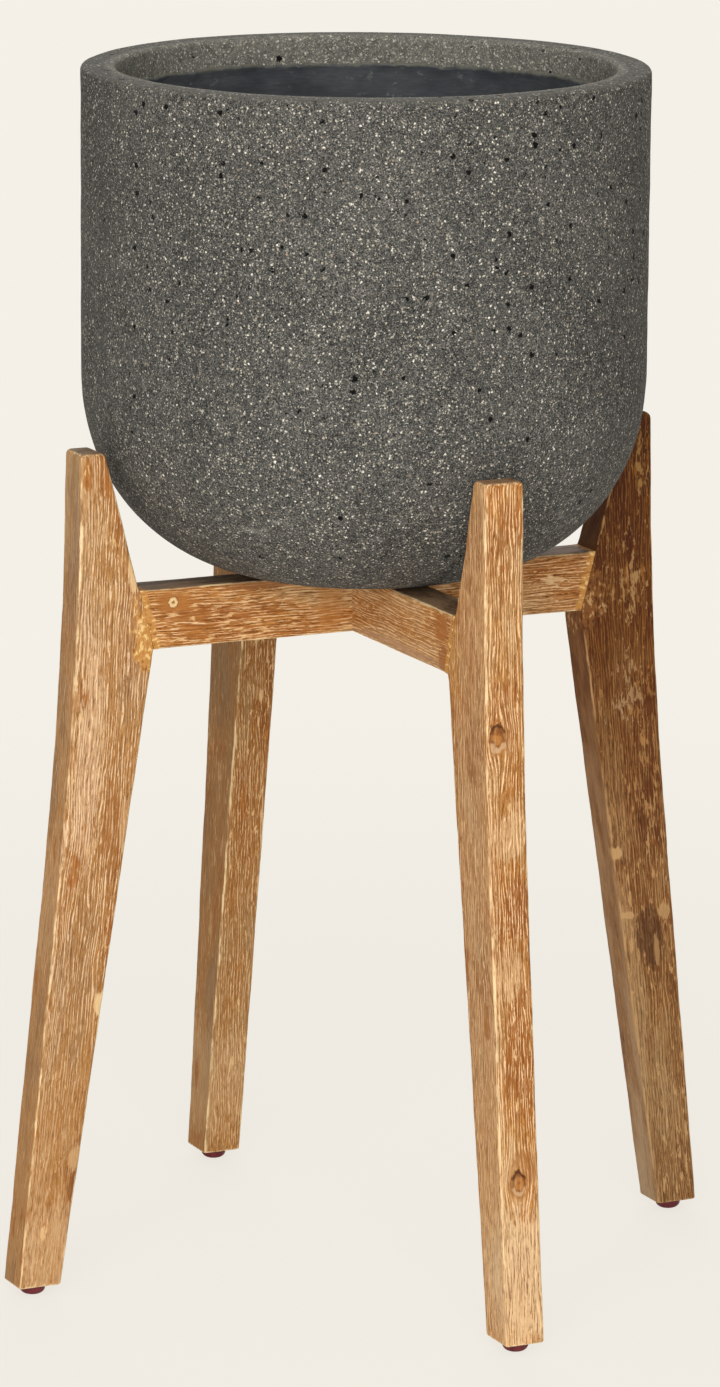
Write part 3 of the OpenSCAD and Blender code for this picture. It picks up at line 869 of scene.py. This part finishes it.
def steelMaterial():
    return cloudedMaterial("zincSteel", (1.2, 1.2, 2.4), 3.0, 0.6,
                           ((0.35, (168, 168, 166)), (0.65, (205, 205, 208))), (0.25, 0.42), 0.1, 0.1, 1.0)


def pinMaterial():
    # end grain: on each pin's face a pale ring about a brown middle
    material, n, place = newSurface("pinWood")
    pore, cloud = n.noise(place, 0.7, 3.0, 0.6), n.noise(place, 3.5)
    colour = n.ramp(n.calc("MULTIPLY_ADD", cloud, 0.5, n.times(pore, 0.5)),
                    (0.38, (128, 86, 48)), (0.5, (172, 124, 76)), (0.62, (206, 166, 116)))
    # the four pins lie alike: at the same reach along their rail and at one height
    x, y, z = list(n.axes(place))
    along = n.calc("MAXIMUM", n.calc("ABSOLUTE", x), n.calc("ABSOLUTE", y))
    far = n.length(n.put("CombineXYZ", {0: n.minus(along, pin["reach"]), 1: n.minus(z, pin["z"])}))
    far = n.plus(far, n.swing(n.noise(place, 1.6, 2.0, 0.6), 2.2))
    ring = n.ramp(n.calc("DIVIDE", far, 4.0),
                  (0.08, (120, 72, 34)), (0.26, (196, 150, 92)), (0.4, (236, 206, 150)),
                  (0.68, (226, 190, 132)), (0.84, (132, 84, 44)), (0.95, (96, 58, 30)))
    colour = n.over(n.fade(far, 4.6, 3.9, 0.0, 0.85), colour, ring)
    n.toShader(colour, pore, (0.6, 0.75), pore, 0.4, 0.3)
    return material


# Building the pieces

dress(buildPot(), stoneMaterial(), "pot", "pot_shell")
dress(buildCoat(), coatMaterial(), "pot", "inner_coat")
dress(buildPlug(), rubberMaterial(), "plug", "drain_plug")
print("pot done")

# brushed: how much paint and grain shows on the outer face, the side towards +, the inner face and the
# other side; patches, marks and flecks: place across, through and along, half sizes, colour, amount
legs = {
    "front_left": dict(angle=180, seed=101, brushed=(0.45, 1.0, 0.8, 0.9), wood=dict(
        offset=(11, 3, 50), plain=(118, 78, 42), paint=(240, 208, 168), tan=(176, 129, 78),
        golden=(170, 117, 62), pore=(98, 54, 20), warmth=0.47, innerWarm=0.2, outerPale=0.1, bareInner=0.1,
        linesLow=0.3, chalk=0.85, chalkWidth=0.18, grooves=0.7, grooveWidth=0.17, dark=0.55, pale=0.25,
        stain=[(0, (0.96, 0.95, 0.88, 1)), (0.5, (0.91, 0.84, 0.7, 1)), (0.8, (1.02, 1.05, 1.1, 1)),
               (1, (1.06, 1.17, 1.36, 1))],
        patches=((-13, 13, 340, 9, 8, 74, (222, 184, 142), 0.5),
                 (-34, 13, 290, 9, 8, 32, (150, 96, 44), 0.55),
                 (-30, 13, 84, 9, 8, 15, (142, 88, 40), 0.6), (-20, 13, 30, 20, 8, 30, (216, 176, 128), 0.4),
                 (-36, 13, 420, 8, 8, 34, (156, 100, 50), 0.4), (0, 0, 430, 5, 16, 26, (142, 92, 44), 0.5),
                 (0, 0, 250, 5, 16, 40, (196, 150, 100), 0.4)),
        marks=((-34, 13, 293, 9, 6, 24, (156, 100, 46), 0.4), (-40, 13, 300, 3, 5, 16, (226, 186, 134), 0.3),
               (-36, 13, 184, 5, 5, 8, (232, 198, 146), 0.8), (-30, 13, 88, 6, 5, 8, (214, 174, 122), 0.5),
               (-29, 13, 69, 3.4, 6, 8, (124, 74, 34), 0.7),
               (-36, 13, 456, 3, 5, 13, (228, 190, 138), 0.75)))),
    "front_right": dict(angle=270, seed=131, brushed=(1.0, 0.75, 0.8, 0.92), wood=dict(
        offset=(47, 9, 20), paint=(240, 200, 152), pore=(112, 62, 16), grey=(186, 148, 108), warmth=0.54,
        patchy=0.95, filled=0.5, chalk=0.95, chalkWidth=0.19, grooves=0.8, grooveWidth=0.18, pale=0.35,
        stain=[(0, (1.22, 1.34, 1.6, 1)), (0.22, (1.06, 1.1, 1.14, 1)), (0.4, (0.84, 0.8, 0.71, 1)),
               (0.86, (0.93, 0.86, 0.7, 1)), (0.94, (0.7, 0.58, 0.44, 1)), (0.985, white)],
        patches=((0, 5, 273, 9, 9, 18, (146, 82, 30), 0.85), (0, 3, 178, 9, 11, 34, (156, 94, 38), 0.75),
                 (0, 6, 508, 9, 9, 14, (156, 92, 36), 0.6), (0, 2, 392, 9, 12, 20, (160, 98, 42), 0.6),
                 (0, 0, 315, 9, 12, 14, (226, 188, 140), 0.4), (0, -3, 232, 9, 10, 15, (226, 186, 136), 0.45),
                 (-6, 0, 48, 24, 18, 44, (228, 194, 150), 0.65),
                 # the long pale patch down the side face at -13 is painted light, lifting a face that the lamps
                 # leave in shade
                 (-15, -13, 265, 24, 6, 420, (206, 166, 120), 0.35),
                 (-16, -13, 365, 12, 6, 20, (146, 92, 46), 0.6),
                 (-14, -13, 225, 12, 6, 16, (150, 98, 52), 0.5)),
        marks=((0, 4, 116, 6, 8, 10, (158, 104, 56), 0.5),), knots=((0, -5.5, 376, 6.4), (0, -1, 106, 5.4)))),
    "back_right": dict(angle=0, seed=161, brushed=(0.8, 0.8, 0.45, 0.9), outerRound=5.0, wood=dict(
        offset=(83, 5, 90), grey=(138, 102, 62), tan=(130, 86, 42), golden=(118, 70, 26), orange=(98, 50, 12),
        plain=(196, 158, 118), plainDeep=(164, 122, 82), pore=(58, 32, 10), paint=(196, 158, 108),
        edge=(190, 148, 100), blotTone=(206, 162, 108), bareDeep=(84, 44, 16), bareLight=(116, 66, 26),
        fillerTone=(128, 80, 38), fillerDeep=(84, 46, 18), fillerPale=(190, 148, 96),
        blotch=0.03, chalk=0.75, chalkWidth=0.2, grooves=0.7, grooveWidth=0.17, pale=0.4,
        veil=[(0, (0.94, 0.96, 0.98, 1)), (0.45, (0.9, 0.86, 0.8, 1)), (0.72, (0.54, 0.38, 0.18, 1)),
              (1, (0.4, 0.25, 0.08, 1))],
        stain=[(0, (1.3, 1.5, 1.8, 1)), (0.35, (1.2, 1.3, 1.45, 1)), (0.6, (1.05, 1.05, 1.1, 1)),
               (0.85, (0.8, 0.68, 0.55, 1)), (1, (0.76, 0.64, 0.5, 1))],
        patches=((-34, -13, 150, 9, 7, 70, (176, 140, 98), 0.5),
                 (-36, -13, 275, 7, 7, 40, (170, 132, 90), 0.5),
                 (-20, -13, 60, 18, 7, 44, (160, 124, 82), 0.25)),
        marks=((-18, -13, 186, 9, 5, 20, (76, 42, 18), 0.75),
               (-33, -13, 203, 6, 5, 2.2, (196, 156, 108), 0.85),
               (-7, -13, 203, 4, 5, 5, (190, 150, 102), 0.8),
               (-14, -13, 178, 1.8, 4, 11, (176, 136, 90), 0.8),
               (-38, -13, 245, 4, 5, 4.5, (206, 168, 118), 0.9)),
        flecks=((-18, -13, 425, 22, 6, 55, (226, 206, 188), 0.8),
                (-8, -13, 500, 12, 6, 40, (226, 206, 188), 0.8),
                (-20, -13, 350, 20, 6, 40, (214, 190, 166), 0.7)))),
    "back_left": dict(angle=90, seed=191, brushed=(0.8, 0.45, 1.0, 0.35), wood=dict(
        offset=(29, 2, 140), grey=(172, 134, 92), dark=0.5, pale=0.35, grooves=0.5, chalk=0.6,
        chalkWidth=0.18, blotch=0.03, patchy=0.8,
        stain=[(0, (0.88, 0.9, 0.92, 1)), (0.7, (0.67, 0.68, 0.68, 1))],
        patches=((0, 0, 60, 60, 40, 40, (206, 168, 122), 0.35),
                 (-6, 0, 250, 9, 40, 30, (146, 92, 44), 0.5)))),
}
for key, item in legs.items():
    piece = buildLeg("leg_plank_" + key, item["angle"], item["seed"], item["brushed"],
                     item.get("outerRound", leg["topRound"]))
    wood = woodMaterial("wood_" + key, {**woodBase, **item["wood"]})
    dress(piece, wood, "stand", "leg_" + key)
print("legs done")

rails = {
    "left_right": dict(angle=0, seed=301, notchAbove=True, wood=dict(
        offset=(5, 61, 33), greyAndShade=0.85, pinned=0.9, dark=0.85, pale=0.4, grooves=0.9, grooveWidth=0.18,
        chalk=0.75, chalkWidth=0.17, warmth=0.5, paint=(242, 206, 158), tan=(184, 142, 92),
        grey=(180, 144, 104), stainFrom=-147, stainTo=147,
        stain=[(0, white), (0.62, white), (0.9, (0.92, 0.86, 0.82, 1))],
        veil=[(0.6, white), (0.9, (0.96, 0.92, 0.88, 1))],
        # the second mark, dark along the top edge right under the pot, is painted shade
        marks=((0, -13, -28, 22, 4, 8, (176, 114, 52), 0.5), (17, -13, -75, 4, 5, 26, (136, 80, 36), 0.7),
               (3, -13, 128, 1.8, 4, 7, (224, 186, 138), 0.7)),
        flecks=((0, -13, 126, 16, 6, 24, (226, 190, 142), 0.8),))),
    "front_back": dict(angle=90, seed=331, notchAbove=False, wood=dict(
        offset=(5, 17, 71), greyAndShade=0.85, pinned=0.9, dark=0.6, pale=0.5, grooves=0.7, grooveWidth=0.13,
        chalk=0.8, chalkWidth=0.17, tan=(190, 142, 90), paint=(242, 206, 158),
        marks=((8, 13, -138, 9, 4, 8, (164, 98, 42), 0.8), (-10, 13, -141, 8, 4, 6, (150, 88, 38), 0.75),
               (-15, 13, -80, 3, 4, 50, (176, 134, 100), 0.6)))),
}
for key, item in rails.items():
    piece = buildRail("rail_plank_" + key, item["angle"], item["seed"], item["notchAbove"])
    wood = woodMaterial("wood_" + key, {**woodBase, **item["wood"]})
    dress(piece, wood, "stand", "rail_" + key)
print("rails done")

maroon = glideMaterial()
for key, item in legs.items():
    dress(buildGlide("foot_glide_" + key, item["angle"]), maroon, "stand", "glide_" + key)

pinWood, steel = pinMaterial(), steelMaterial()
for key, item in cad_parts.items():
    if key.startswith("tenon") or key in ("lap_screw", "glide_nails"):
        item.data.materials.clear()
        item.data.materials.append(pinWood if key.startswith("tenon") else steel)
print("fittings done")


# Floor, light and camera, in metres

backTone = linear((244, 240, 231))
floorTone = linear((246, 243, 236))
studio = dict(world=0.38, floorSize=60.0, glow=0.84, nearFloor=0.5, farFloor=1.9, aim=(0, 0, 0.45),
              lamps=dict(key=((-2.0, -3.6, 1.7), 3.6, 177),  # place, size, power
                         fill=((1.5, 3.3, 2.0), 3.0, 45)))
view = dict(turn=-25.5, height=12.55, roll=0.45, distance=4.05301, aimZ=0.36212,  # the photograph's own view
            focal=6482.37, middle=(361.5, 693.75), frame=(720, 1387))  # in pixels of the photograph


def buildFloor():
    # the object's shadow shows near its feet, and further out the floor is as pale as the background
    s = studio["floorSize"] / 2
    mesh = bpy.data.meshes.new("floor")
    mesh.from_pydata([(-s, -s, 0), (s, -s, 0), (s, s, 0), (-s, s, 0)], [], [(0, 1, 2, 3)])
    material, n = newMaterial("paleFloor")
    shader = n.tree.nodes["Principled BSDF"]
    shader.inputs["Base Color"].default_value = floorTone
    shader.inputs["Roughness"].default_value = 0.9
    away = n.length(n.put("TexCoord", out=3))
    glow = n.put("Emission", {"Color": backTone, "Strength": 1.0})
    share = n.fade(away, studio["nearFloor"], studio["farFloor"], studio["glow"], 1.0)
    share = n.times(n.put("LightPath", out=0), share)
    mixed = n.put("MixShader", {0: share, 1: shader.outputs[0], 2: glow})
    n.tree.links.new(mixed, n.tree.nodes["Material Output"].inputs["Surface"])
    mesh.materials.append(material)
    addObject("floor", mesh)


def buildWorld():
    # even light from all round, and the pale background where the camera or a reflection sees it
    world = bpy.data.worlds.new("studio")
    bpy.context.scene.world = world
    world.use_nodes = True
    n = Nodes(world.node_tree)
    rays = n.put("LightPath").node.outputs
    direct = n.calc("MAXIMUM", rays["Is Camera Ray"], rays["Is Glossy Ray"])
    direct = n.calc("MAXIMUM", direct, rays["Is Transmission Ray"])
    ambient = n.put("Background", {"Color": (1, 1, 1, 1), "Strength": studio["world"]})
    shown = n.put("Background", {"Color": backTone, "Strength": 1.0})
    mixed = n.put("MixShader", {0: direct, 1: ambient, 2: shown})
    n.tree.links.new(mixed, n.tree.nodes["World Output"].inputs["Surface"])


def buildLamp(name, place, size, power):
    lamp = bpy.data.lights.new(name, "AREA")
    lamp.shape, lamp.size, lamp.energy = "SQUARE", size, power
    holder = addObject(name, lamp)
    holder.location = place
    holder.rotation_euler = (Vector(studio["aim"]) - Vector(place)).to_track_quat("-Z", "Y").to_euler()


def buildCamera():
    # looks from the left of the front and from a little above, rolled slightly
    v = view
    a, e, roll = (radians(v[key]) for key in ("turn", "height", "roll"))
    wide, high = v["frame"]
    forward = Vector((-sin(a) * cos(e), cos(a) * cos(e), -sin(e)))
    right = Vector((cos(a), sin(a), 0))
    up = right.cross(forward)
    rolledRight = right * cos(roll) + up * sin(roll)
    rolledUp = up * cos(roll) - right * sin(roll)
    data = bpy.data.cameras.new("camera")
    data.sensor_fit = "VERTICAL"
    data.sensor_height = 36
    data.lens = v["focal"] / high * data.sensor_height
    data.shift_x = (wide / 2 - v["middle"][0]) / high
    data.shift_y = (v["middle"][1] - high / 2) / high
    data.clip_end = 100
    camera = addObject("camera", data)
    turn = Matrix((rolledRight, rolledUp, -forward)).transposed().to_4x4()
    camera.matrix_world = Matrix.Translation(Vector((0, 0, v["aimZ"])) - forward * v["distance"]) @ turn
    bpy.context.scene.camera = camera


buildFloor()
buildWorld()
for key, item in studio["lamps"].items():
    buildLamp(key, *item)
buildCamera()
bpy.context.scene.view_settings.view_transform = "Standard"
print("studio done")
